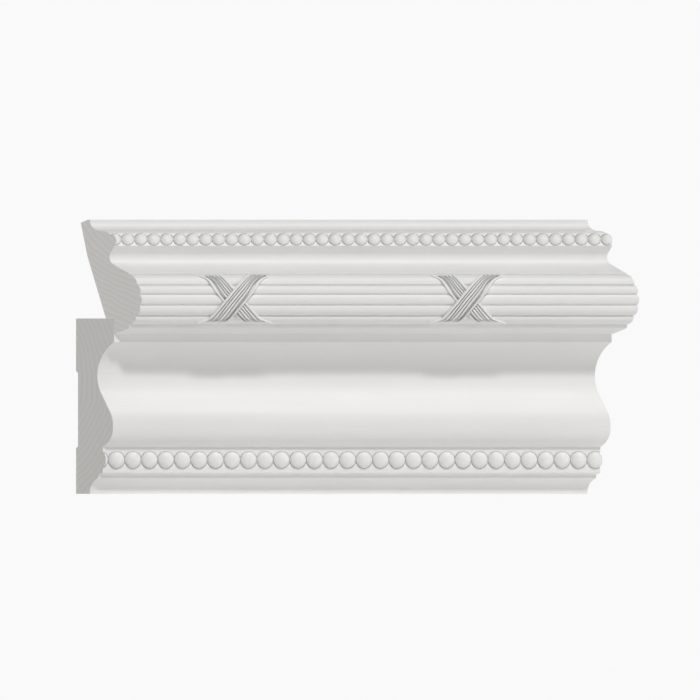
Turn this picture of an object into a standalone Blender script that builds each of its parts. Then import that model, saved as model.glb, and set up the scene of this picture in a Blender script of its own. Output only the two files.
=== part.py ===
"""A length of built-up chair rail in painted wood, made of two mouldings.

The lower moulding has a cove, a belly and a row of pearls. The upper moulding laps its top front corner and has a
torus of five reeds tied by crossed ribbons, with a second row of pearls above. Both are mitred at the two ends.

X runs along the rail, the rail faces -Y and +Z is up. The origin is in the middle of the upper band of the lower
moulding's back, which bears on the wall. Sections are drawn as (out, up): out from the wall and up from the foot.
"""

import math

import bmesh
import bpy
from mathutils import Matrix, Vector

MM = 0.001

# The whole rail
LENGTH = 305 * MM  # along the wall
MITRE = math.radians(45)
GAP = 0.3 * MM  # between the two mouldings, where they are fitted together

# Lower moulding, member by member from the foot to the top
FOOT_OUT = 8.4 * MM
TOE_COVE_HEIGHT = 9.8 * MM
TOE_COVE_HOLLOW = 1.6 * MM
TOE_FILLET_OUT = 13.8 * MM
TOE_FILLET_HEIGHT = 1.9 * MM
PEARL_SPLAY_HEIGHT = 1.2 * MM
LOWER_BAND_OUT = 16.4 * MM
LOWER_BAND_HEIGHT = 15.8 * MM
BELLY_OUT = 22.7 * MM
BELLY_LOW_HEIGHT = 12.0 * MM
BELLY_LOW_ROUND = 1.8 * MM
BELLY_HIGH_HEIGHT = 11.0 * MM
BELLY_HIGH_ROUND = 0.75 * MM
FLANK_FOOT_OUT = 20.2 * MM
FLANK_HEIGHT = 8.8 * MM
COVE_FOOT_OUT = 16.0 * MM
COVE_HEIGHT = 32.5 * MM
COVE_HOLLOW = 6.1 * MM
TOP_FILLET_HEIGHT = 14.5 * MM
LOWER_DEPTH = 23.3 * MM
LOWER_BAND_FOOT = TOE_COVE_HEIGHT + TOE_FILLET_HEIGHT + PEARL_SPLAY_HEIGHT
LOWER_HEIGHT = (
    LOWER_BAND_FOOT
    + LOWER_BAND_HEIGHT
    + BELLY_LOW_HEIGHT
    + BELLY_HIGH_HEIGHT
    + FLANK_HEIGHT
    + COVE_HEIGHT
    + TOP_FILLET_HEIGHT
)

# Shallow groove in the back of the lower moulding, between its two bands that bear on the wall
FOOT_BEARING = 27.9 * MM
TOP_BEARING = 32.2 * MM
BACK_GROOVE_DEPTH = 1.2 * MM
ORIGIN_UP = LOWER_HEIGHT - TOP_BEARING / 2

# Upper moulding: out from the front face of the lower moulding, and up from the seat on its top
SEAT_DEPTH = 5.0 * MM
LIP_HEIGHT = 9.4 * MM
LIP_THICKNESS = 0.9 * MM
UNDERSIDE_OUT = 9.3 * MM
UNDERSIDE_DROP = 6.0 * MM
TORUS_BACK = 5.8 * MM
TORUS_UP = 11.65 * MM
TORUS_RADIUS = 22.0 * MM  # to the quirks between the reeds
TORUS_START = math.radians(45.3)
REED_ANGLES = [math.radians(angle) for angle in (21.2, 15.6, 17.7, 17.9, 18.0)]  # from the top reed down
REED_ROUND = 1.0 * MM
SLOPE_HEIGHT = 5.9 * MM
NECK_FOOT_BACK = 0.5 * MM
NECK_HEIGHT = 6.8 * MM
NECK_HOLLOW = 1.3 * MM
NECK_HEAD_BACK = 2.2 * MM
NOSE_FLANK_HEIGHT = 4.6 * MM
NOSE_OUT = 0.5 * MM
UPPER_BAND_HEIGHT = 7.8 * MM
UPPER_BAND_BACK = 3.1 * MM
SHELF_EDGE_DEPTH = 0.9 * MM
SHELF_EDGE_RISE = 0.2 * MM
SHELF_STEP_DEPTH = 1.5 * MM
SHELF_STEP_RISE = 0.85 * MM
SHELF_DEPTH = 2.7 * MM
SHELF_RISE = 0.3 * MM
CAVETTO_HEIGHT = 6.8 * MM
CAVETTO_DEPTH = 6.6 * MM
CAVETTO_HOLLOW = 2.0 * MM
CROWN_FLAT = 1.4 * MM
CROWN_SPLAY = 4.2 * MM
CROWN_SPLAY_DROP = 1.9 * MM
BACK_BEND_BACK = 16.3 * MM
BACK_BEND_UP = 38.0 * MM

# Pearls: a cap of a ball on each band
LOWER_PEARL_PITCH = 10.12 * MM
LOWER_PEARL_RADIUS = 4.98 * MM
LOWER_PEARL_RISE = 2.64 * MM
LOWER_PEARL_SHIFT = 3.8 * MM  # of the nearest pearl from the middle of the rail
UPPER_PEARL_PITCH = 7.944 * MM
UPPER_PEARL_RADIUS = 3.86 * MM
UPPER_PEARL_RISE = 2.45 * MM
UPPER_PEARL_SHIFT = -1.6 * MM
PEARL_ROOT = 0.8 * MM  # sunk into the band
PEARL_SIDES = 10
PEARL_RINGS = 3
PEARL_LEAST = 0.3  # of its radius that a pearl cut by a mitre still shows

# Ribbons: two that cross on the torus, again and again along the rail
RIBBON_SPACING = 142.8 * MM
RIBBON_SHIFT = -55.2 * MM  # of the first crossing from the middle of the rail
RIBBON_WIDTH = 13.7 * MM  # along the rail
RIBBON_RUN = 19.3 * MM  # along the rail for each radian round the torus
RIBBON_TOP = math.radians(39.6)
RIBBON_FOOT = math.radians(-39.9)
CROSSING_ANGLE = math.radians(-3.4)
RIBBON_PROUD = 1.0 * MM  # of the reeds
RIBBON_LIFT = 0.8 * MM  # of the front ribbon where it passes over the back one
RIBBON_ROOT = 1.5 * MM  # sunk below the quirks
RIBBON_SINK = 0.3 * MM  # at its two ends
HEM_FLARE = 4.5 * MM
HEM_START = math.radians(-30)
STRAND_WIDTHS = (0.23, 0.09, 0.22, 0.09, 0.21, 0.16)  # shares of the ribbon's width
STRAND_ROUND = 0.5 * MM
RIBBON_ROWS = 11

# Sides of the round members
REED_SIDES = 4
COVE_SIDES = 10
BELLY_SIDES = 5
SMALL_SIDES = 4
SAME_PLACE = 0.001 * MM  # corners nearer than this are one

PAINT_COLOUR = (0.86, 0.86, 0.84, 1.0)
PAINT_ROUGHNESS = 0.42

# Sections lie in the YZ plane: out is -Y and up is +Z
SECTION_FRAME = Matrix.Translation((0, 0, -ORIGIN_UP)) @ Matrix(
    ((0, 0, -1, 0), (-1, 0, 0, 0), (0, 1, 0, 0), (0, 0, 0, 1))
)


def bow(start, end, rise, sides):
    """Points of a round member from start to end, without start. Its middle stands off the straight line by rise,
    to the left of the way it runs."""
    start, end = Vector(start), Vector(end)
    half = (end - start).length / 2
    along = (end - start).normalized()
    left = Vector((-along.y, along.x))
    radius = (half**2 + rise**2) / (2 * rise)
    centre = (start + end) / 2 + left * (rise - radius)
    spread = 2 * math.atan(rise / half)
    turns = [spread * (2 * side / sides - 1) for side in range(1, sides + 1)]
    return [tuple(centre + radius * (math.sin(turn) * along + math.cos(turn) * left)) for turn in turns]


def lower_outline():
    """Up the front from the foot, then down the back."""
    points = [(FOOT_OUT, 0)]
    up = TOE_COVE_HEIGHT
    points += bow(points[-1], (TOE_FILLET_OUT, up), TOE_COVE_HOLLOW, SMALL_SIDES)
    up += TOE_FILLET_HEIGHT
    points.append((TOE_FILLET_OUT, up))
    up += PEARL_SPLAY_HEIGHT
    points.append((LOWER_BAND_OUT, up))
    up += LOWER_BAND_HEIGHT
    points.append((LOWER_BAND_OUT, up))
    up += BELLY_LOW_HEIGHT
    points += bow(points[-1], (BELLY_OUT, up), -BELLY_LOW_ROUND, BELLY_SIDES)
    up += BELLY_HIGH_HEIGHT
    points += bow(points[-1], (FLANK_FOOT_OUT, up), -BELLY_HIGH_ROUND, BELLY_SIDES)
    up += FLANK_HEIGHT
    points.append((COVE_FOOT_OUT, up))
    up += COVE_HEIGHT
    points += bow(points[-1], (LOWER_DEPTH, up), COVE_HOLLOW, COVE_SIDES)
    points += [
        (LOWER_DEPTH, LOWER_HEIGHT),
        (0, LOWER_HEIGHT),
        (0, LOWER_HEIGHT - TOP_BEARING),
        (BACK_GROOVE_DEPTH, LOWER_HEIGHT - TOP_BEARING - BACK_GROOVE_DEPTH),
        (BACK_GROOVE_DEPTH, FOOT_BEARING + BACK_GROOVE_DEPTH),
        (0, FOOT_BEARING),
        (0, 0),
    ]
    return points


def torus_point(angle, radius):
    """A place on the torus, in (out, up), at this angle above the level through its centre."""
    return (
        LOWER_DEPTH - TORUS_BACK + radius * math.cos(angle),
        LOWER_HEIGHT + TORUS_UP + radius * math.sin(angle),
    )


def upper_band():
    """The foot and head of the sloping band that carries the upper pearls."""
    foot_up = LOWER_HEIGHT + torus_top_up() + SLOPE_HEIGHT + NECK_HEIGHT + NOSE_FLANK_HEIGHT
    foot = (LOWER_DEPTH + NOSE_OUT, foot_up)
    head = (LOWER_DEPTH - UPPER_BAND_BACK, foot_up + UPPER_BAND_HEIGHT)
    return foot, head


def torus_top_up():
    """The top of the reeds, above the seat."""
    return torus_point(TORUS_START, TORUS_RADIUS)[1] - LOWER_HEIGHT


def upper_outline():
    """Up the front from the lip, then down the back to the seat."""
    front, seat = LOWER_DEPTH + GAP, LOWER_HEIGHT + GAP
    lip = LOWER_HEIGHT - LIP_HEIGHT
    points = [
        (front, lip),
        (front + LIP_THICKNESS, lip),
        (LOWER_DEPTH + UNDERSIDE_OUT, LOWER_HEIGHT - UNDERSIDE_DROP),
    ]
    angle = TORUS_START - sum(REED_ANGLES)
    points.append(torus_point(angle, TORUS_RADIUS))
    for turn in reversed(REED_ANGLES):
        angle += turn
        points += bow(points[-1], torus_point(angle, TORUS_RADIUS), -REED_ROUND, REED_SIDES)
    up = LOWER_HEIGHT + torus_top_up() + SLOPE_HEIGHT
    points.append((LOWER_DEPTH - NECK_FOOT_BACK, up))
    up += NECK_HEIGHT
    points += bow(points[-1], (LOWER_DEPTH - NECK_HEAD_BACK, up), NECK_HOLLOW, SMALL_SIDES)
    points += upper_band()
    out, up = points[-1]
    shelf_steps = (
        (SHELF_EDGE_DEPTH, SHELF_EDGE_RISE),
        (SHELF_STEP_DEPTH, SHELF_STEP_RISE),
        (SHELF_DEPTH, SHELF_RISE),
    )
    for depth, rise in shelf_steps:
        out -= depth
        up += rise
        points.append((out, up))
    out -= CAVETTO_DEPTH
    up += CAVETTO_HEIGHT
    points += bow(points[-1], (out, up), CAVETTO_HOLLOW, SMALL_SIDES)
    out -= CROWN_FLAT
    points += [
        (out, up),
        (out - CROWN_SPLAY, up - CROWN_SPLAY_DROP),
        (LOWER_DEPTH - BACK_BEND_BACK, LOWER_HEIGHT + BACK_BEND_UP),
        (LOWER_DEPTH - SEAT_DEPTH, seat),
        (front, seat),
    ]
    return points


def new_object(name, mesh, collection):
    obj = bpy.data.objects.new(name, mesh)
    collection.objects.link(obj)
    return obj


def helper(name, mesh):
    """An object that only joins or cuts others."""
    obj = new_object(name, mesh, cutters)
    obj.hide_render = True
    obj.display_type = "WIRE"
    return obj


def mesh_from(work, name):
    bmesh.ops.recalc_face_normals(work, faces=work.faces)
    mesh = bpy.data.meshes.new(name)
    work.to_mesh(mesh)
    work.free()
    return mesh


def blank(name, outline):
    """The section run along X, longer than the rail at both ends."""
    curve = bpy.data.curves.new(name, "CURVE")
    curve.dimensions = "2D"
    curve.fill_mode = "BOTH"
    spare = 2 * max(out for out, up in outline) * math.tan(MITRE)
    curve.extrude = LENGTH / 2 + spare
    spline = curve.splines.new("POLY")
    spline.points.add(len(outline) - 1)
    for point, (out, up) in zip(spline.points, outline):
        point.co = (out, up, 0, 1)
    spline.use_cyclic_u = True
    drawn = new_object(name + "_curve", curve, parts)
    drawn.matrix_world = SECTION_FRAME
    bpy.context.view_layer.update()
    graph = bpy.context.evaluated_depsgraph_get()
    work = bmesh.new()
    work.from_mesh(bpy.data.meshes.new_from_object(drawn.evaluated_get(graph)))
    bmesh.ops.remove_doubles(work, verts=work.verts, dist=SAME_PLACE)
    moulding = new_object(name, mesh_from(work, name), parts)
    moulding.matrix_world = drawn.matrix_world
    bpy.data.objects.remove(drawn)
    return moulding


def pearl_mesh(name, radius, rise):
    """A cap of a ball, turned about Z, with a short round root below its edge at Z = 0."""
    profile = [(0, rise)] + bow((0, rise), (radius, 0), cap_bow(radius, rise), PEARL_RINGS)
    profile += [(radius, -PEARL_ROOT), (0, -PEARL_ROOT)]
    work = bmesh.new()
    corners = [work.verts.new((across, 0, along)) for across, along in profile]
    edges = [work.edges.new(pair) for pair in zip(corners, corners[1:])]
    bmesh.ops.spin(
        work,
        geom=corners + edges,
        cent=(0, 0, 0),
        axis=(0, 0, 1),
        angle=math.tau,
        steps=PEARL_SIDES,
    )
    bmesh.ops.remove_doubles(work, verts=work.verts, dist=SAME_PLACE)
    return mesh_from(work, name)


def cap_bow(radius, rise):
    """How far half the arc over a cap of this base radius and rise stands off its own straight line."""
    ball = (radius**2 + rise**2) / (2 * rise)
    half_line = math.hypot(radius, rise) / 2
    return ball - math.sqrt(ball**2 - half_line**2)


def pearl_row(name, foot, head, radius, rise, pitch, shift):
    """Pearls along the middle of the band from foot to head, out to the two mitres."""
    foot, head = Vector(foot), Vector(head)
    middle = (foot + head) / 2
    slope = math.atan2(foot.x - head.x, head.y - foot.y)
    lean = middle.x * math.tan(MITRE)
    reach = radius * (1 - PEARL_LEAST)
    first = math.ceil((lean - LENGTH / 2 - reach - shift) / pitch)
    last = math.floor((lean + LENGTH / 2 + reach - shift) / pitch)
    row = helper(name, pearl_mesh(name, radius, rise))
    row.location = (shift + first * pitch, -middle.x, middle.y - ORIGIN_UP)
    row.rotation_euler = (math.pi / 2 - slope, 0, 0)
    array = row.modifiers.new("pearls", "ARRAY")
    array.use_relative_offset = False
    array.use_constant_offset = True
    array.constant_offset_displace = (pitch, 0, 0)
    array.count = last - first + 1
    return row


def ribbon_section():
    """(share of the width, height above the quirks between the strands) across a ribbon."""
    points = [(0, 0)]
    for width in STRAND_WIDTHS:
        edge = points[-1][0]
        points.append((edge + width / 2, STRAND_ROUND * min(1, width / STRAND_WIDTHS[0])))
        points.append((edge + width, 0))
    return points


def ribbon(name, middle, lean, lift):
    """A strap over the torus, from the top reed to the bottom one. lean is 1 where it climbs towards +X, and -1
    where it falls."""
    crest = torus_crest()
    section = ribbon_section()
    work = bmesh.new()
    rows = []
    for row in range(RIBBON_ROWS):
        share = row / (RIBBON_ROWS - 1)
        angle = RIBBON_TOP + (RIBBON_FOOT - RIBBON_TOP) * share
        ends = (2 * share - 1) ** 4
        over = 1 - (2 * share - 1) ** 2
        level = crest + RIBBON_PROUD - RIBBON_SINK * ends + lift * over - STRAND_ROUND
        hem = max(0.0, (HEM_START - angle) / (HEM_START - RIBBON_FOOT))
        near = RIBBON_RUN * (angle - CROSSING_ANGLE) - RIBBON_WIDTH / 2 - HEM_FLARE * hem**2
        far = RIBBON_RUN * (angle - CROSSING_ANGLE) + RIBBON_WIDTH / 2
        places = [(near + (far - near) * across, level + height) for across, height in section]
        places += [(far, TORUS_RADIUS - RIBBON_ROOT), (near, TORUS_RADIUS - RIBBON_ROOT)]
        corners = []
        for along, radius in places:
            out, up = torus_point(angle, radius)
            corners.append(work.verts.new((middle + lean * along, -out, up - ORIGIN_UP)))
        rows.append(corners)
    for upper, lower in zip(rows, rows[1:]):
        for here in range(len(upper)):
            after = (here + 1) % len(upper)
            work.faces.new((upper[here], upper[after], lower[after], lower[here]))
    work.faces.new(rows[0])
    work.faces.new(rows[-1])
    bmesh.ops.triangulate(work, faces=work.faces)
    return helper(name, mesh_from(work, name))


def torus_crest():
    """The radius to the top of a middle reed."""
    return TORUS_RADIUS * math.cos(REED_ANGLES[2] / 2) + REED_ROUND


def crossing_places():
    """Places along the rail of the crossings that fit between the mitres."""
    lean = (LOWER_DEPTH - TORUS_BACK + torus_crest()) * math.tan(MITRE)
    reach = RIBBON_RUN * (RIBBON_TOP - CROSSING_ANGLE) + RIBBON_WIDTH / 2
    first = math.ceil((lean - LENGTH / 2 + reach - RIBBON_SHIFT) / RIBBON_SPACING)
    last = math.floor((lean + LENGTH / 2 - reach - RIBBON_SHIFT) / RIBBON_SPACING)
    return [RIBBON_SHIFT + number * RIBBON_SPACING for number in range(first, last + 1)]


def mitre_block():
    """The block that both mouldings are cut to, leaning by the mitre at its two ends."""
    work = bmesh.new()
    bmesh.ops.create_cube(work, size=1)
    clear = 3 * max(up for out, up in upper_outline())
    bmesh.ops.scale(work, verts=work.verts, vec=(LENGTH, clear, clear))
    for vert in work.verts:
        vert.co.x -= vert.co.y * math.tan(MITRE)
    return helper("mitre_block", mesh_from(work, "mitre_block"))


def join(obj, other, operation):
    boolean = obj.modifiers.new(other.name, "BOOLEAN")
    boolean.operation = operation
    boolean.solver = "MANIFOLD"  # EXACT leaves rows of pearls open at some lengths of rail
    boolean.object = other


def triangulate(obj):
    """Even triangles on the flats that the pearls and ribbons stand on."""
    weld = obj.modifiers.new("weld", "WELD")
    weld.merge_threshold = SAME_PLACE
    triangles = obj.modifiers.new("triangles", "TRIANGULATE")
    triangles.quad_method = "BEAUTY"
    triangles.ngon_method = "BEAUTY"


def paint(obj):
    """White satin paint over wood."""
    material = bpy.data.materials.new(obj.name + "_paint")
    material.use_nodes = True
    shader = material.node_tree.nodes["Principled BSDF"]
    shader.inputs["Base Color"].default_value = PAINT_COLOUR
    shader.inputs["Roughness"].default_value = PAINT_ROUGHNESS
    shader.inputs["Metallic"].default_value = 0
    obj.data.materials.clear()
    obj.data.materials.append(material)


def lower_moulding(block):
    moulding = blank("lower_moulding", lower_outline())
    pearls = pearl_row(
        "lower_pearls",
        (LOWER_BAND_OUT, LOWER_BAND_FOOT),
        (LOWER_BAND_OUT, LOWER_BAND_FOOT + LOWER_BAND_HEIGHT),
        LOWER_PEARL_RADIUS,
        LOWER_PEARL_RISE,
        LOWER_PEARL_PITCH,
        LOWER_PEARL_SHIFT,
    )
    join(moulding, pearls, "UNION")
    join(moulding, block, "INTERSECT")
    triangulate(moulding)
    paint(moulding)


def upper_moulding(block):
    moulding = blank("upper_moulding", upper_outline())
    foot, head = upper_band()
    pearls = pearl_row(
        "upper_pearls",
        foot,
        head,
        UPPER_PEARL_RADIUS,
        UPPER_PEARL_RISE,
        UPPER_PEARL_PITCH,
        UPPER_PEARL_SHIFT,
    )
    join(moulding, pearls, "UNION")
    for number, middle in enumerate(crossing_places(), 1):
        join(moulding, ribbon(f"back_ribbon_{number}", middle, -1, 0), "UNION")
        join(moulding, ribbon(f"front_ribbon_{number}", middle, 1, RIBBON_LIFT), "UNION")
    join(moulding, block, "INTERSECT")
    triangulate(moulding)
    paint(moulding)


for old in list(bpy.data.objects):
    bpy.data.objects.remove(old)
parts = bpy.data.collections.new("chair_rail")
cutters = bpy.data.collections.new("cutters")
bpy.context.scene.collection.children.link(parts)
bpy.context.scene.collection.children.link(cutters)

shared_block = mitre_block()
lower_moulding(shared_block)
upper_moulding(shared_block)
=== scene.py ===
"""The finished look of a mitred length of painted chair rail.

Both mouldings are carved again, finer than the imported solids: smooth rounds, eased arrises, turned pearls
and pleated ribbons. Sections are drawn as (out, up): out from the wall, which is -Y, and up from the foot.
"""

import math

import bmesh
import bpy
from mathutils import Matrix, Vector


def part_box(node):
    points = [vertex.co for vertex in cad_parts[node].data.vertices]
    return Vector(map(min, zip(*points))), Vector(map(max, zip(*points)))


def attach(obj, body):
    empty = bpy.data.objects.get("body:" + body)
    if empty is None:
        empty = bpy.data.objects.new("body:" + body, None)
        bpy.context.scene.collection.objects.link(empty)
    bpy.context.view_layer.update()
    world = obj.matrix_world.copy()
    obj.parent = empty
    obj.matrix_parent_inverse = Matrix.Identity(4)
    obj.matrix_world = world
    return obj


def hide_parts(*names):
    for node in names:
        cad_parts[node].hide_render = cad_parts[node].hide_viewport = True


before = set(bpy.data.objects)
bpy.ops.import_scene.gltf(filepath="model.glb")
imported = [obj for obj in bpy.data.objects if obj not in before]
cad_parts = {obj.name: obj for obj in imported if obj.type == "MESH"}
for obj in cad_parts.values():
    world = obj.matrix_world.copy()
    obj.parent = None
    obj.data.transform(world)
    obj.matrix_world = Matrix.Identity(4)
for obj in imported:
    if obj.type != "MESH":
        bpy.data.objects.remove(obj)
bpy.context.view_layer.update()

MM = 0.001
BODY = "root"

# From the frame, where the lower moulding's foot is its lowest, its back is on the wall and its left end
# on the mitre
lower_low, lower_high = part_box("lower_moulding")
LENGTH = -2 * lower_low[0]
LOWER_HEIGHT = lower_high[2] - lower_low[2]
LOWER_DEPTH = lower_high[1] - lower_low[1]
ORIGIN_UP = -lower_low[2]
MITRE = math.radians(45)
SEAM = 0.04 * MM  # all that shows of the glue line between the two

# Lower moulding, member by member from the foot to the top
FOOT_OUT = 8.4 * MM
TOE_COVE_HEIGHT = 9.8 * MM
TOE_COVE_HOLLOW = 1.6 * MM
TOE_FILLET_OUT = 13.8 * MM
TOE_FILLET_HEIGHT = 1.9 * MM
PEARL_SPLAY_HEIGHT = 1.2 * MM
LOWER_BAND_OUT = 16.4 * MM
LOWER_BAND_HEIGHT = 15.8 * MM
BELLY_OUT = 22.7 * MM
BELLY_LOW_HEIGHT = 12.0 * MM
BELLY_LOW_ROUND = 1.8 * MM
BELLY_HIGH_HEIGHT = 11.0 * MM
BELLY_HIGH_ROUND = 0.75 * MM
FLANK_FOOT_OUT = 20.2 * MM
FLANK_HEIGHT = 8.8 * MM
COVE_FOOT_OUT = 16.0 * MM
COVE_HEIGHT = 32.5 * MM
COVE_HOLLOW = 6.1 * MM
FOOT_BEARING = 27.9 * MM
TOP_BEARING = 32.2 * MM
BACK_GROOVE_DEPTH = 1.2 * MM
LOWER_BAND_FOOT = TOE_COVE_HEIGHT + TOE_FILLET_HEIGHT + PEARL_SPLAY_HEIGHT

# Upper moulding: out from the front face of the lower moulding, and up from the seat on its top
SEAT_DEPTH = 5.0 * MM
LIP_HEIGHT = 9.4 * MM
LIP_THICKNESS = 0.9 * MM
UNDERSIDE_OUT = 9.3 * MM
UNDERSIDE_DROP = 6.0 * MM
UNDERSIDE_EASE = 1.0 * MM  # how far its round corner reaches
TORUS_BACK = 5.8 * MM
TORUS_UP = 11.65 * MM
TORUS_RADIUS = 22.0 * MM
TORUS_START = math.radians(45.3)
REED_ANGLES = [math.radians(angle) for angle in (21.2, 15.6, 17.7, 17.9, 18.0)]
REED_ROUND = 1.0 * MM
REED_QUIRK_DEPTH = 1.0 * MM  # of the fine cut beside each reed
REED_QUIRK_WIDTH = 0.8 * MM
SLOPE_HEIGHT = 5.9 * MM
NECK_FOOT_BACK = 0.5 * MM
NECK_HEIGHT = 6.8 * MM
NECK_HOLLOW = 1.3 * MM
NECK_HEAD_BACK = 2.2 * MM
NOSE_FLANK_HEIGHT = 4.6 * MM
NOSE_OUT = 0.5 * MM
UPPER_BAND_HEIGHT = 7.8 * MM
UPPER_BAND_BACK = 3.1 * MM
SHELF_STEPS = ((0.9 * MM, 0.2 * MM), (1.5 * MM, 0.85 * MM), (2.7 * MM, 0.3 * MM))
CAVETTO_HEIGHT = 6.8 * MM
CAVETTO_DEPTH = 6.6 * MM
CAVETTO_HOLLOW = 2.0 * MM
CROWN_FLAT = 1.4 * MM
CROWN_SPLAY = 4.2 * MM
CROWN_SPLAY_DROP = 1.9 * MM
BACK_BEND_BACK = 16.3 * MM
BACK_BEND_UP = 38.0 * MM

# Pearls
LOWER_PEARL_PITCH = 10.12 * MM
LOWER_PEARL_RADIUS = 4.98 * MM
LOWER_PEARL_RISE = 2.64 * MM
LOWER_PEARL_SHIFT = 3.8 * MM
UPPER_PEARL_PITCH = 7.944 * MM
UPPER_PEARL_RADIUS = 3.86 * MM
UPPER_PEARL_RISE = 2.45 * MM
UPPER_PEARL_SHIFT = -1.6 * MM
PEARL_ROOT = 0.8 * MM
PEARL_SIDES = 48
PEARL_RINGS = 12
PEARL_LEAST = 0.3  # of a pearl's radius, that a mitre has to leave
SINKING_WIDTH = 0.35 * MM  # of the ground that is cut back around each pearl
SINKING_DEPTH = 0.6 * MM

# Ribbons
RIBBON_SPACING = 142.8 * MM
RIBBON_SHIFT = -55.2 * MM
RIBBON_WIDTH = 13.7 * MM
RIBBON_RUN = 19.3 * MM
RIBBON_TOP = math.radians(39.6)
RIBBON_FOOT = math.radians(-39.9)
CROSSING_ANGLE = math.radians(-3.4)
RIBBON_PROUD = 1.0 * MM
RIBBON_LIFT = 0.8 * MM
RIBBON_ROOT = 1.5 * MM
RIBBON_SINK = 0.15 * MM
HEM_FLARE = 4.5 * MM
HEM_FLARE_START = math.radians(-31)
HEM_FLARE_END = math.radians(-38.5)
HEM_TUCK = 1.3 * MM
HEM_TUCK_START = math.radians(-27)
TOP_FLARE = 1.4 * MM
TOP_FLARE_START = math.radians(33)
TOP_FLARE_END = math.radians(37.5)
WAIST = 1.4 * MM
WAIST_ANGLE = math.radians(28)
WAIST_REACH = math.radians(9)
PLEAT_FOOT = math.radians(-36)  # the pleats run out into a plain hem here
PLEAT_FADE = math.radians(2)
PLEAT_HALF_WIDTH = 0.034  # as a share of the ribbon's width, like all half widths here
PLEAT_DEPTH = 1.6 * MM
STRAND_ROUND = 0.4 * MM
STRAND_POWER = 4  # a higher one makes a strand flatter, with a tighter edge
HEM_POWER = 12
FOLD_HALF_WIDTH = 0.085
FOLD_DEPTH = 2.8 * MM
FOLD_FLOOR = 1.7 * MM  # the folds go no further than this below the reeds' crests
FOLD_BOTTOM = (-0.6, 0, 0.6)  # corners of its flat bottom, in half widths
FOLD_REACH = 0.45  # the most that a fold takes of the way to the next one
GATHER_START = math.radians(28)  # from here up the folds widen and deepen
GATHER_WIDENS = 0.5
GATHER_DEEPENS = 0.3
POCKET_ANGLE = PLEAT_FOOT + 1.5 * PLEAT_FADE  # the pleats end in pockets here
POCKET_WIDENS = 0.8
POCKET_DEEPENS = 0.3
BED_FLOOR = 0.3 * MM  # above the ribbon's root
BED_INSET = 0.35 * MM
BED_SHORT = math.radians(0.6)
# The quirks between the strands, and the deep fold, as shares of the width at the top, the middle and
# the foot
PLEATS = ((0.18, 0.17, 0.17), (0.33, 0.29, 0.38), (0.48, 0.46, 0.48), (0.58, 0.60, 0.70))
FOLD = (0.73, 0.82, 0.88)
RIBBON_ROWS = 160
STRAND_SIDES = 6

# Finish of the mesh
ARC_STEP = math.radians(3.5)
ARC_SIDES = 3  # at least
ARRIS = 0.35 * MM  # an eased outer corner
QUIRK = 0.12 * MM  # a paint-filled inner corner
CORNER_STEP = math.radians(20)
CORNER_STEPS = 2  # at least
CORNER_REACH = 0.4  # the most that a corner takes of either side
SHARP_TURN = math.radians(14)
SMOOTH_ANGLE = math.radians(30)
SAME_PLACE = 0.001 * MM
MITRE_BLOCK_CLEAR = 3  # times the height of the rail
MITRE_NORMAL = Vector((math.cos(MITRE), math.sin(MITRE), 0))
ON_MITRE = 0.9999  # the least cosine between a face of the cut and the mitre
ON_BACK = 0.5  # and between a face of the back and +Y

# Paint
SATIN_LIGHT = (0.85, 0.844, 0.83)
SATIN_DARK = (0.80, 0.794, 0.778)
SATIN_ROUGHNESS = 0.50
EARLY_WOOD = (0.82, 0.81, 0.788)
LATE_SEALED = (0.75, 0.735, 0.705)
LATE_PRIMED = (0.735, 0.72, 0.69)
SEALED_ROUGHNESS = 0.64
PRIMED_ROUGHNESS = 0.74
GLOSS_SPREAD = 0.08
LOWER_TONE = 0.93
UPPER_TONE = 1.03
LOWER_PITH = (0, 0.055, -0.02)
UPPER_PITH = (0, -0.06, 0.11)

# Growth rings
RING_PITCH = 3 * MM
RING_STRETCH = (0.08, 1, 1)
RING_WAVER = 12
RING_WAVER_DETAIL = 3
RING_WAVER_SCALE = 0.3
WAVE_RATE = 20  # radians to the metre of a wave texture at scale 1

# Clouds in the paint: the stretch, the number to the metre and the detail
TONE_CLOUD = ((0.4, 1, 1), 40, 4)
GLOSS_CLOUD = ((0.3, 3, 3), 60, 3)

# Marks in the paint: the stretch, the number to the metre and the height
ALONG_RAIL = (0.02, 1, 1)
UPRIGHT = (1, 1, 0.03)
EVEN = (1, 1, 1)
BRUSH = (ALONG_RAIL, 1100, 0.03 * MM)
GRAIN = (ALONG_RAIL, 300, 0.04 * MM)
PEEL = (EVEN, 1300, 0.008 * MM)
SAW = (UPRIGHT, 900, 0.04 * MM)
PORES = (ALONG_RAIL, 2200, 0.05 * MM)
PLANED = (ALONG_RAIL, 160, 0.08 * MM)
MARK_DETAIL = 4

# Camera, framed as the photograph is
PICTURE_PX = 700
MM_PER_PX = 0.613
WALL_PX = 76.03  # where the photograph has the wall, from the left
FOOT_PX = 493.83  # and the foot, from the top
CAMERA_DISTANCE = 1

# Studio
WHITE = (1, 1, 1, 1)
FLOOR_SIZE = 30
FLOOR_COLOUR = (0.82, 0.82, 0.82, 1)
FLOOR_ROUGHNESS = 0.8
FLOOR_GLOW = 0.12
SURROUND_LIGHT = 0.08
SURROUND_SEEN = 0.95
# Each lamp's name, the direction it shines from, its strength, and its width in degrees
LAMPS = (
    ("key", (0.12, -0.62, 0.87), 1.75, 5),
    ("fill", (0.75, -0.85, 0.03), 0.8, 8),
    ("left_fill", (-0.9, -0.5, 0.1), 0.06, 12),
    ("back", (0.3, 0.9, 0.6), 1.3, 20),
)

SECTION_FRAME = Matrix.Translation((0, 0, -ORIGIN_UP)) @ Matrix(
    ((0, 0, -1, 0), (-1, 0, 0, 0), (0, 1, 0, 0), (0, 0, 0, 1))
)


def smooth_step(value, start, end):
    share = min(1.0, max(0.0, (value - start) / (end - start)))
    return share * share * (3 - 2 * share)


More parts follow.
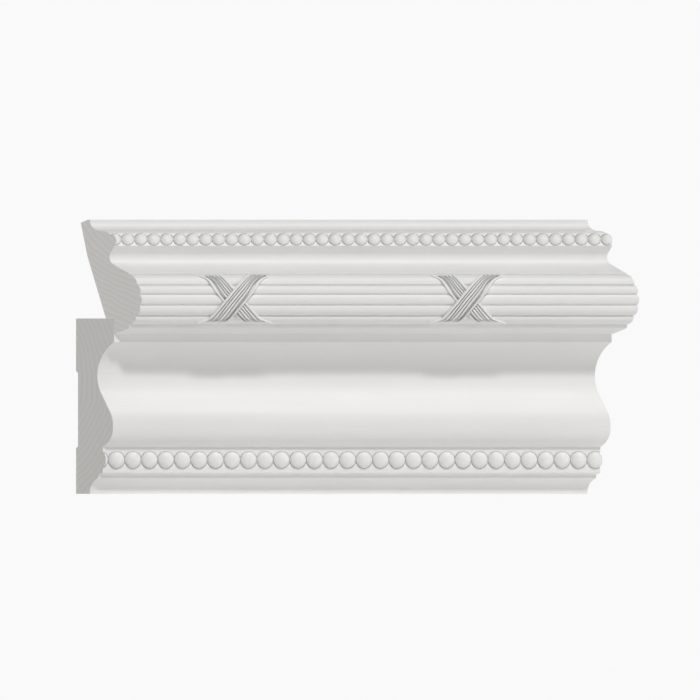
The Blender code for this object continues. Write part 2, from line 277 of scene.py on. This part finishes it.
def bow(start, end, rise):
    """Points of a round member from start to end, without start. Its middle stands off the straight line
    by rise, to the left of the way it runs."""
    start, end = Vector(start), Vector(end)
    half = (end - start).length / 2
    along = (end - start).normalized()
    left = Vector((-along.y, along.x))
    radius = (half**2 + rise**2) / (2 * rise)
    centre = (start + end) / 2 + left * (rise - radius)
    spread = 2 * math.atan(rise / half)
    sides = max(ARC_SIDES, math.ceil(2 * abs(spread) / ARC_STEP))
    turns = [spread * (2 * side / sides - 1) for side in range(1, sides + 1)]
    return [tuple(centre + radius * (math.sin(turn) * along + math.cos(turn) * left)) for turn in turns]


def rounded(before, corner, after, reach):
    """Points of the round that turns an outer corner, from reach before it to reach past it."""
    before, corner, after = Vector(before), Vector(corner), Vector(after)
    start = corner + (before - corner).normalized() * reach
    end = corner + (after - corner).normalized() * reach
    turn = math.pi - (before - corner).angle(after - corner)
    rise = (end - start).length / 2 * math.tan(turn / 4)
    return [tuple(start)] + bow(start, end, -rise)


def lower_outline():
    """Up the front from the foot, then down the back."""
    points = [(FOOT_OUT, 0)]
    up = TOE_COVE_HEIGHT
    points += bow(points[-1], (TOE_FILLET_OUT, up), TOE_COVE_HOLLOW)
    up += TOE_FILLET_HEIGHT
    points.append((TOE_FILLET_OUT, up))
    up += PEARL_SPLAY_HEIGHT
    points.append((LOWER_BAND_OUT, up))
    up += LOWER_BAND_HEIGHT
    points.append((LOWER_BAND_OUT, up))
    up += BELLY_LOW_HEIGHT
    points += bow(points[-1], (BELLY_OUT, up), -BELLY_LOW_ROUND)
    up += BELLY_HIGH_HEIGHT
    points += bow(points[-1], (FLANK_FOOT_OUT, up), -BELLY_HIGH_ROUND)
    up += FLANK_HEIGHT
    points.append((COVE_FOOT_OUT, up))
    up += COVE_HEIGHT
    points += bow(points[-1], (LOWER_DEPTH, up), COVE_HOLLOW)
    points += [
        (LOWER_DEPTH, LOWER_HEIGHT),
        (0, LOWER_HEIGHT),
        (0, LOWER_HEIGHT - TOP_BEARING),
        (BACK_GROOVE_DEPTH, LOWER_HEIGHT - TOP_BEARING - BACK_GROOVE_DEPTH),
        (BACK_GROOVE_DEPTH, FOOT_BEARING + BACK_GROOVE_DEPTH),
        (0, FOOT_BEARING),
        (0, 0),
    ]
    return points


def torus_point(angle, radius):
    """A place on the torus, in (out, up), at this angle above the level through its centre."""
    return (
        LOWER_DEPTH - TORUS_BACK + radius * math.cos(angle),
        LOWER_HEIGHT + TORUS_UP + radius * math.sin(angle),
    )


def upper_band():
    """The foot and head of the sloping band that carries the upper pearls."""
    torus_top = torus_point(TORUS_START, TORUS_RADIUS)[1]
    foot_up = torus_top + SLOPE_HEIGHT + NECK_HEIGHT + NOSE_FLANK_HEIGHT
    foot = (LOWER_DEPTH + NOSE_OUT, foot_up)
    head = (LOWER_DEPTH - UPPER_BAND_BACK, foot_up + UPPER_BAND_HEIGHT)
    return foot, head


def upper_outline():
    """Up the front from the lip, then down the back to the seat."""
    front, seat = LOWER_DEPTH + SEAM, LOWER_HEIGHT + SEAM
    lip = LOWER_HEIGHT - LIP_HEIGHT
    angle = TORUS_START - sum(REED_ANGLES)
    cut = REED_QUIRK_WIDTH / TORUS_RADIUS / 2
    torus_foot = torus_point(angle - cut, TORUS_RADIUS)
    lip_foot = (front + LIP_THICKNESS, lip)
    corner = (LOWER_DEPTH + UNDERSIDE_OUT, LOWER_HEIGHT - UNDERSIDE_DROP)
    points = [(front, lip), lip_foot]
    points += rounded(lip_foot, corner, torus_foot, UNDERSIDE_EASE)
    points += [torus_foot, torus_point(angle, TORUS_RADIUS - REED_QUIRK_DEPTH)]
    for turn in reversed(REED_ANGLES):
        points.append(torus_point(angle + cut, TORUS_RADIUS))
        angle += turn
        points += bow(points[-1], torus_point(angle - cut, TORUS_RADIUS), -REED_ROUND)
        points.append(torus_point(angle, TORUS_RADIUS - REED_QUIRK_DEPTH))
    points.append(torus_point(angle + cut, TORUS_RADIUS))
    up = torus_point(angle, TORUS_RADIUS)[1] + SLOPE_HEIGHT
    points.append((LOWER_DEPTH - NECK_FOOT_BACK, up))
    up += NECK_HEIGHT
    points += bow(points[-1], (LOWER_DEPTH - NECK_HEAD_BACK, up), NECK_HOLLOW)
    points += upper_band()
    out, up = points[-1]
    for depth, rise in SHELF_STEPS:
        out -= depth
        up += rise
        points.append((out, up))
    out -= CAVETTO_DEPTH
    up += CAVETTO_HEIGHT
    points += bow(points[-1], (out, up), CAVETTO_HOLLOW)
    out -= CROWN_FLAT
    points += [
        (out, up),
        (out - CROWN_SPLAY, up - CROWN_SPLAY_DROP),
        (LOWER_DEPTH - BACK_BEND_BACK, LOWER_HEIGHT + BACK_BEND_UP),
        (LOWER_DEPTH - SEAT_DEPTH, seat),
        (front, seat),
    ]
    return points


def eased(outline):
    """The closed outline with its sharp corners rounded: outer ones as an arris, inner ones as a quirk."""
    points = [Vector(point) for point in outline]
    done = []
    for number, corner in enumerate(points):
        before = points[number - 1] - corner
        after = points[(number + 1) % len(points)] - corner
        turn = math.pi - before.angle(after)
        if turn < SHARP_TURN:
            done.append(tuple(corner))
            continue
        outer = before.x * after.y - before.y * after.x < 0
        radius = ARRIS if outer else QUIRK
        shorter = min(before.length, after.length)
        reach = min(radius * math.tan(turn / 2), CORNER_REACH * shorter)
        start = corner + before.normalized() * reach
        end = corner + after.normalized() * reach
        steps = max(CORNER_STEPS, round(turn / CORNER_STEP))
        for step in range(steps + 1):
            share = step / steps
            there = start * (1 - share) ** 2 + corner * 2 * share * (1 - share) + end * share**2
            done.append(tuple(there))
    return done


def mesh_from(work, name):
    bmesh.ops.recalc_face_normals(work, faces=work.faces)
    mesh = bpy.data.meshes.new(name)
    work.to_mesh(mesh)
    work.free()
    return mesh


def new_object(name, data):
    obj = bpy.data.objects.new(name, data)
    bpy.context.scene.collection.objects.link(obj)
    return obj


def evaluated_mesh(obj):
    bpy.context.view_layer.update()
    graph = bpy.context.evaluated_depsgraph_get()
    return bpy.data.meshes.new_from_object(obj.evaluated_get(graph))


def blank(name, outline):
    """The section run along X, longer than the rail at both ends."""
    curve = bpy.data.curves.new(name, "CURVE")
    curve.dimensions = "2D"
    curve.fill_mode = "BOTH"
    spare = 2 * max(out for out, up in outline) * math.tan(MITRE)
    curve.extrude = LENGTH / 2 + spare
    spline = curve.splines.new("POLY")
    spline.points.add(len(outline) - 1)
    for point, (out, up) in zip(spline.points, outline):
        point.co = (out, up, 0, 1)
    spline.use_cyclic_u = True
    drawn = new_object(name + "_curve", curve)
    work = bmesh.new()
    work.from_mesh(evaluated_mesh(drawn))
    bpy.data.objects.remove(drawn)
    bmesh.ops.remove_doubles(work, verts=work.verts, dist=SAME_PLACE)
    bmesh.ops.transform(work, matrix=SECTION_FRAME, verts=work.verts)
    return new_object(name, mesh_from(work, name))


def combine(obj, other, operation):
    """Joins or cuts obj with other, which goes."""
    boolean = obj.modifiers.new(other.name, "BOOLEAN")
    boolean.operation = operation
    boolean.solver = "MANIFOLD"
    boolean.object = other
    mesh = evaluated_mesh(obj)
    obj.modifiers.clear()
    obj.data = mesh
    bpy.data.objects.remove(other)


def turned(profile):
    """A closed solid turned about Z, from its (across, along) profile from axis to axis."""
    work = bmesh.new()
    corners = [work.verts.new((across, 0, along)) for across, along in profile]
    edges = [work.edges.new(pair) for pair in zip(corners, corners[1:])]
    bmesh.ops.spin(
        work,
        geom=corners + edges,
        cent=(0, 0, 0),
        axis=(0, 0, 1),
        angle=math.tau,
        steps=PEARL_SIDES,
    )
    bmesh.ops.remove_doubles(work, verts=work.verts, dist=SAME_PLACE)
    return work


def pearl_profile(radius, rise):
    """Half a flattened ball, with a short root below the band at Z = 0."""
    turns = [math.pi / 2 * ring / PEARL_RINGS for ring in range(PEARL_RINGS + 1)]
    points = [(radius * math.sin(turn), rise * math.cos(turn)) for turn in turns]
    return points + [(radius, -PEARL_ROOT), (0, -PEARL_ROOT)]


def sinking_profile(radius):
    clear = radius + SINKING_WIDTH
    return [(0, PEARL_ROOT), (clear, PEARL_ROOT), (clear, -SINKING_DEPTH), (0, -SINKING_DEPTH)]


def turned_row(name, profile, foot, head, places):
    """Copies of one turned solid on the middle of the band from foot to head, at these places along the
    rail."""
    foot, head = Vector(foot), Vector(head)
    middle = (foot + head) / 2
    slope = math.atan2(foot.x - head.x, head.y - foot.y)
    one = turned(profile)
    bmesh.ops.transform(one, matrix=Matrix.Rotation(math.pi / 2 - slope, 4, "X"), verts=one.verts)
    solid = mesh_from(one, name + "_one")
    work = bmesh.new()
    for along in places:
        made = len(work.verts)
        work.from_mesh(solid)
        work.verts.ensure_lookup_table()
        there = (along, -middle.x, middle.y - ORIGIN_UP)
        bmesh.ops.translate(work, vec=there, verts=work.verts[made:])
    return new_object(name, mesh_from(work, name))


def carve_pearls(moulding, foot, head, radius, rise, pitch, shift):
    """A row of pearls on the band from foot to head, out to the two mitres, each in a sinking of its own."""
    lean = (foot[0] + head[0]) / 2 * math.tan(MITRE)
    reach = radius * (1 - PEARL_LEAST)
    first = math.ceil((lean - LENGTH / 2 - reach - shift) / pitch)
    last = math.floor((lean + LENGTH / 2 + reach - shift) / pitch)
    places = [shift + number * pitch for number in range(first, last + 1)]
    for name, some in (("odd_sinkings", places[::2]), ("even_sinkings", places[1::2])):
        sinkings = turned_row(name, sinking_profile(radius), foot, head, some)
        combine(moulding, sinkings, "DIFFERENCE")
    pearls = turned_row("pearls", pearl_profile(radius, rise), foot, head, places)
    combine(moulding, pearls, "UNION")


def torus_crest():
    return TORUS_RADIUS * math.cos(REED_ANGLES[2] / 2) + REED_ROUND


def ribbon_sides(angle):
    """The two sides of a ribbon that climbs towards +X, along the rail from the middle of its crossing."""
    line = RIBBON_RUN * (angle - CROSSING_ANGLE)
    hem = HEM_FLARE * smooth_step(angle, HEM_FLARE_START, HEM_FLARE_END)
    tip = TOP_FLARE * smooth_step(angle, TOP_FLARE_START, TOP_FLARE_END)
    waist = WAIST * math.exp(-(((angle - WAIST_ANGLE) / WAIST_REACH) ** 2))
    tuck = HEM_TUCK * smooth_step(angle, HEM_TUCK_START, RIBBON_FOOT)
    return line - RIBBON_WIDTH / 2 - hem, line + RIBBON_WIDTH / 2 + tip - waist - tuck


def across_at(angle, places):
    """Where a fold lies across the ribbon, from its places at the top, the middle and the foot."""
    top, middle, foot = places
    if angle > 0:
        return middle + (top - middle) * smooth_step(angle, 0, RIBBON_TOP)
    return middle + (foot - middle) * smooth_step(angle, 0, RIBBON_FOOT)


def hem_height(share):
    """The plain cloth at this share of the ribbon's width, above the ground of its strands."""
    return STRAND_ROUND * (1 - (2 * share - 1) ** HEM_POWER)


def pleated_profile(angle):
    """The cloth across the ribbon, as (share of the width, height above the ground of its strands)."""
    pocket = math.exp(-(((angle - POCKET_ANGLE) / PLEAT_FADE) ** 2))
    gather = smooth_step(angle, GATHER_START, RIBBON_TOP)
    half_width = PLEAT_HALF_WIDTH * (1 + GATHER_WIDENS * gather + POCKET_WIDENS * pocket)
    depth = PLEAT_DEPTH * (1 + GATHER_DEEPENS * gather + POCKET_DEEPENS * pocket)
    folds = [(across_at(angle, places), half_width, depth, (0,)) for places in PLEATS]
    folds.append((across_at(angle, FOLD), FOLD_HALF_WIDTH, FOLD_DEPTH, FOLD_BOTTOM))
    profile = []
    lip = before = 0.0
    for number in range(len(folds) + 1):
        last = number == len(folds)
        middle, half, deep, bottom = (1.0, 0, 0, ()) if last else folds[number]
        end = max(middle - half, middle - FOLD_REACH * (middle - before))
        for side in range(STRAND_SIDES + 1):
            across = 2 * side / STRAND_SIDES - 1
            height = STRAND_ROUND * (1 - across**STRAND_POWER)
            profile.append((lip + (end - lip) * side / STRAND_SIDES, height))
        profile += [(middle + half * place, -deep) for place in bottom]
        if not last:
            after = folds[number + 1][0] if number + 1 < len(folds) else 1.0
            lip = min(middle + half, middle + FOLD_REACH * (after - middle))
            before = middle
    pleated = smooth_step(angle, PLEAT_FOOT, PLEAT_FOOT + PLEAT_FADE)
    plain = 1 - pleated
    return [(share, height * pleated + hem_height(share) * plain) for share, height in profile]


def loft(name, middle, lean, start, end, section):
    """A solid over the torus. section gives its (along, radius) corners at each angle from start to end.
    lean is 1 where it climbs towards +X, and -1 where it falls."""
    work = bmesh.new()
    rows = []
    for row in range(RIBBON_ROWS + 1):
        angle = start + (end - start) * row / RIBBON_ROWS
        corners = []
        for along, radius in section(angle):
            out, up = torus_point(angle, radius)
            corners.append(work.verts.new((middle + lean * along, -out, up - ORIGIN_UP)))
        rows.append(corners)
    for upper, lower in zip(rows, rows[1:]):
        for here in range(len(upper)):
            after = (here + 1) % len(upper)
            work.faces.new((upper[here], upper[after], lower[after], lower[here]))
    work.faces.new(rows[0])
    work.faces.new(rows[-1])
    bmesh.ops.triangulate(work, faces=work.faces)
    return new_object(name, mesh_from(work, name))


def bed(middle, lean):
    """What is cut away for a ribbon, so that nothing shows in its folds."""
    floor = TORUS_RADIUS - RIBBON_ROOT + BED_FLOOR
    clear = torus_crest() + 2 * FOLD_DEPTH

    def section(angle):
        near, far = ribbon_sides(angle)
        near += BED_INSET
        far -= BED_INSET
        return [(near, clear), (far, clear), (far, floor), (near, floor)]

    return loft("bed", middle, lean, RIBBON_TOP - BED_SHORT, RIBBON_FOOT + BED_SHORT, section)


def ribbon(middle, lean, lift):
    """A strap over the torus, from the top reed to the bottom one. One with no lift passes under the
    other."""
    crest = torus_crest()

    def section(angle):
        ends = (2 * (RIBBON_TOP - angle) / (RIBBON_TOP - RIBBON_FOOT) - 1) ** 2
        level = crest + RIBBON_PROUD - RIBBON_SINK * ends**2 + lift * (1 - ends) - STRAND_ROUND
        near, far = ribbon_sides(angle)
        places = []
        for share, height in pleated_profile(angle):
            radius = max(level + height, crest - FOLD_FLOOR)
            places.append((near + (far - near) * share, radius))
        root = TORUS_RADIUS - RIBBON_ROOT
        return places + [(far, root), (near, root)]

    return loft("ribbon", middle, lean, RIBBON_TOP, RIBBON_FOOT, section)


def crossing_places():
    """Places along the rail of the crossings that fit between the mitres."""
    lean = (LOWER_DEPTH - TORUS_BACK + torus_crest()) * math.tan(MITRE)
    reach = RIBBON_RUN * (RIBBON_TOP - CROSSING_ANGLE) + RIBBON_WIDTH / 2
    first = math.ceil((lean - LENGTH / 2 + reach - RIBBON_SHIFT) / RIBBON_SPACING)
    last = math.floor((lean + LENGTH / 2 - reach - RIBBON_SHIFT) / RIBBON_SPACING)
    return [RIBBON_SHIFT + number * RIBBON_SPACING for number in range(first, last + 1)]


def mitre_block():
    """The block that a moulding is cut to, leaning by the mitre at its two ends."""
    work = bmesh.new()
    bmesh.ops.create_cube(work, size=1)
    clear = MITRE_BLOCK_CLEAR * max(up for out, up in upper_outline())
    bmesh.ops.scale(work, verts=work.verts, vec=(LENGTH, clear, clear))
    for vert in work.verts:
        vert.co.x -= vert.co.y * math.tan(MITRE)
    return new_object("mitre_block", mesh_from(work, "mitre_block"))


def add_node(tree, kind, place, **settings):
    node = tree.nodes.new(kind)
    node.location = place
    for name, value in settings.items():
        setattr(node, name, value)
    return node


def paint(name, light, dark, roughness, marks, pith=None):
    """Paint over wood, a little cloudy in gloss. Its tone is cloudy too, or where it is thin it shows the
    growth rings round the pith, which is the middle of the tree."""
    material = bpy.data.materials.new(name)
    material.use_nodes = True
    tree = material.node_tree
    link = tree.links.new
    shader = tree.nodes["Principled BSDF"]
    coordinates = add_node(tree, "ShaderNodeTexCoord", (-1400, 0))

    def noise(stretch, scale, detail, level):
        mapping = add_node(tree, "ShaderNodeMapping", (-1150, -300 * level))
        mapping.inputs["Scale"].default_value = stretch
        link(coordinates.outputs["Object"], mapping.inputs["Vector"])
        texture = add_node(tree, "ShaderNodeTexNoise", (-900, -300 * level))
        texture.inputs["Scale"].default_value = scale
        texture.inputs["Detail"].default_value = detail
        link(mapping.outputs["Vector"], texture.inputs["Vector"])
        return texture.outputs["Fac"]

    def rings():
        mapping = add_node(tree, "ShaderNodeMapping", (-1150, 300))
        mapping.inputs["Location"].default_value = [-part for part in pith]
        mapping.inputs["Scale"].default_value = RING_STRETCH
        link(coordinates.outputs["Object"], mapping.inputs["Vector"])
        texture = add_node(
            tree,
            "ShaderNodeTexWave",
            (-900, 300),
            wave_type="RINGS",
            rings_direction="X",
            wave_profile="SAW",
        )
        texture.inputs["Scale"].default_value = math.tau / WAVE_RATE / RING_PITCH
        texture.inputs["Distortion"].default_value = RING_WAVER
        texture.inputs["Detail"].default_value = RING_WAVER_DETAIL
        texture.inputs["Detail Scale"].default_value = RING_WAVER_SCALE
        link(mapping.outputs["Vector"], texture.inputs["Vector"])
        return texture.outputs["Fac"]

    tone = add_node(tree, "ShaderNodeMix", (-500, 0), data_type="RGBA")
    tone.inputs["A"].default_value = (*dark, 1)
    tone.inputs["B"].default_value = (*light, 1)
    link(rings() if pith else noise(*TONE_CLOUD, 0), tone.inputs["Factor"])
    link(tone.outputs["Result"], shader.inputs["Base Color"])

    gloss = add_node(tree, "ShaderNodeMapRange", (-500, -300))
    gloss.inputs["To Min"].default_value = roughness - GLOSS_SPREAD
    gloss.inputs["To Max"].default_value = roughness + GLOSS_SPREAD
    link(noise(*GLOSS_CLOUD, 1), gloss.inputs["Value"])
    link(gloss.outputs["Result"], shader.inputs["Roughness"])

    normal = None
    for level, (stretch, scale, height) in enumerate(marks, 2):
        bump = add_node(tree, "ShaderNodeBump", (-500, -300 * level))
        bump.inputs["Distance"].default_value = height
        link(noise(stretch, scale, MARK_DETAIL, level), bump.inputs["Height"])
        if normal:
            link(normal, bump.inputs["Normal"])
        normal = bump.outputs["Normal"]
    link(normal, shader.inputs["Normal"])
    return material


def weld(mesh):
    """Draws together the corners that the cuts left in one place."""
    work = bmesh.new()
    work.from_mesh(mesh)
    bmesh.ops.remove_doubles(work, verts=work.verts, dist=SAME_PLACE)
    bmesh.ops.dissolve_degenerate(work, edges=work.edges, dist=SAME_PLACE)
    work.to_mesh(mesh)
    work.free()


def toned(colour, tone):
    return [tone * part for part in colour]


def finish_piece(obj, node, slot, face_paint, pith, tone):
    """Paints the moulded faces, the two cuts and the back, and shades the rounds smooth. tone is how light
    the wood shows through the thin paint of the cuts and the back."""
    mesh = obj.data
    weld(mesh)
    light = toned(EARLY_WOOD, tone)
    sealed = toned(LATE_SEALED, tone)
    primed = toned(LATE_PRIMED, tone)
    cut_paint = paint("sealed_cut_" + slot, light, sealed, SEALED_ROUGHNESS, (SAW, PORES), pith)
    back_marks = (PLANED, GRAIN, PORES)
    back_paint = paint("primed_back_" + slot, light, primed, PRIMED_ROUGHNESS, back_marks, pith)
    mesh.materials.clear()
    for material in (face_paint, cut_paint, back_paint):
        mesh.materials.append(material)
    for face in mesh.polygons:
        if abs(face.normal.dot(MITRE_NORMAL)) > ON_MITRE:
            face.material_index = 1
        elif face.normal.y > ON_BACK:
            face.material_index = 2
        else:
            face.material_index = 0
    mesh.shade_smooth()
    mesh.set_sharp_from_angle(angle=SMOOTH_ANGLE)
    weighted = obj.modifiers.new("flat_faces_stay_flat", "WEIGHTED_NORMAL")
    weighted.keep_sharp = True
    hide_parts(node)
    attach(obj, BODY)


def lower_moulding(face_paint):
    moulding = blank("coved_moulding", eased(lower_outline()))
    carve_pearls(
        moulding,
        (LOWER_BAND_OUT, LOWER_BAND_FOOT),
        (LOWER_BAND_OUT, LOWER_BAND_FOOT + LOWER_BAND_HEIGHT),
        LOWER_PEARL_RADIUS,
        LOWER_PEARL_RISE,
        LOWER_PEARL_PITCH,
        LOWER_PEARL_SHIFT,
    )
    combine(moulding, mitre_block(), "INTERSECT")
    finish_piece(moulding, "lower_moulding", "lower_paint", face_paint, LOWER_PITH, LOWER_TONE)


def upper_moulding(face_paint):
    moulding = blank("ribbon_moulding", eased(upper_outline()))
    foot, head = upper_band()
    carve_pearls(
        moulding,
        foot,
        head,
        UPPER_PEARL_RADIUS,
        UPPER_PEARL_RISE,
        UPPER_PEARL_PITCH,
        UPPER_PEARL_SHIFT,
    )
    for middle in crossing_places():
        for lean, lift in ((-1, 0), (1, RIBBON_LIFT)):
            combine(moulding, bed(middle, lean), "DIFFERENCE")
            combine(moulding, ribbon(middle, lean, lift), "UNION")
    combine(moulding, mitre_block(), "INTERSECT")
    finish_piece(moulding, "upper_moulding", "upper_paint", face_paint, UPPER_PITH, UPPER_TONE)


def camera():
    """Square on to the face of the rail, with no perspective."""
    data = bpy.data.cameras.new("camera")
    data.type = "ORTHO"
    data.ortho_scale = PICTURE_PX * MM_PER_PX * MM
    eye = new_object("camera", data)
    across = -LENGTH / 2 + (PICTURE_PX / 2 - WALL_PX) * MM_PER_PX * MM
    up = (FOOT_PX - PICTURE_PX / 2) * MM_PER_PX * MM - ORIGIN_UP
    eye.location = (across, -CAMERA_DISTANCE, up)
    eye.rotation_euler = (math.pi / 2, 0, 0)
    bpy.context.scene.camera = eye


def lamp(name, direction, strength, width):
    """Even light over the whole studio."""
    data = bpy.data.lights.new(name, "SUN")
    data.energy = strength
    data.angle = math.radians(width)
    obj = new_object(name, data)
    obj.rotation_euler = Vector(direction).to_track_quat("Z", "Y").to_euler()


def pale_floor():
    bpy.ops.mesh.primitive_plane_add(size=FLOOR_SIZE, location=(0, 0, -ORIGIN_UP))
    plane = bpy.context.object
    plane.name = "floor"
    material = bpy.data.materials.new("pale_floor")
    material.use_nodes = True
    shader = material.node_tree.nodes["Principled BSDF"]
    shader.inputs["Base Color"].default_value = FLOOR_COLOUR
    shader.inputs["Roughness"].default_value = FLOOR_ROUGHNESS
    shader.inputs["Emission Color"].default_value = WHITE
    shader.inputs["Emission Strength"].default_value = FLOOR_GLOW
    plane.data.materials.append(material)


def pale_surround():
    """A pale surround that gives less light than it shows."""
    world = bpy.data.worlds.new("surround")
    bpy.context.scene.world = world
    world.use_nodes = True
    tree = world.node_tree
    light = tree.nodes["Background"]
    light.inputs["Color"].default_value = WHITE
    light.inputs["Strength"].default_value = SURROUND_LIGHT
    seen = tree.nodes.new("ShaderNodeBackground")
    seen.inputs["Color"].default_value = WHITE
    seen.inputs["Strength"].default_value = SURROUND_SEEN
    path = tree.nodes.new("ShaderNodeLightPath")
    mix = tree.nodes.new("ShaderNodeMixShader")
    tree.links.new(path.outputs["Is Camera Ray"], mix.inputs["Fac"])
    tree.links.new(light.outputs["Background"], mix.inputs[1])
    tree.links.new(seen.outputs["Background"], mix.inputs[2])
    tree.links.new(mix.outputs["Shader"], tree.nodes["World Output"].inputs["Surface"])


satin = paint("satin_white_paint", SATIN_LIGHT, SATIN_DARK, SATIN_ROUGHNESS, (BRUSH, GRAIN, PEEL))
camera()
lower_moulding(satin)
upper_moulding(satin)
pale_floor()
pale_surround()
for lamp_settings in LAMPS:
    lamp(*lamp_settings)
bpy.context.scene.view_settings.view_transform = "Standard"
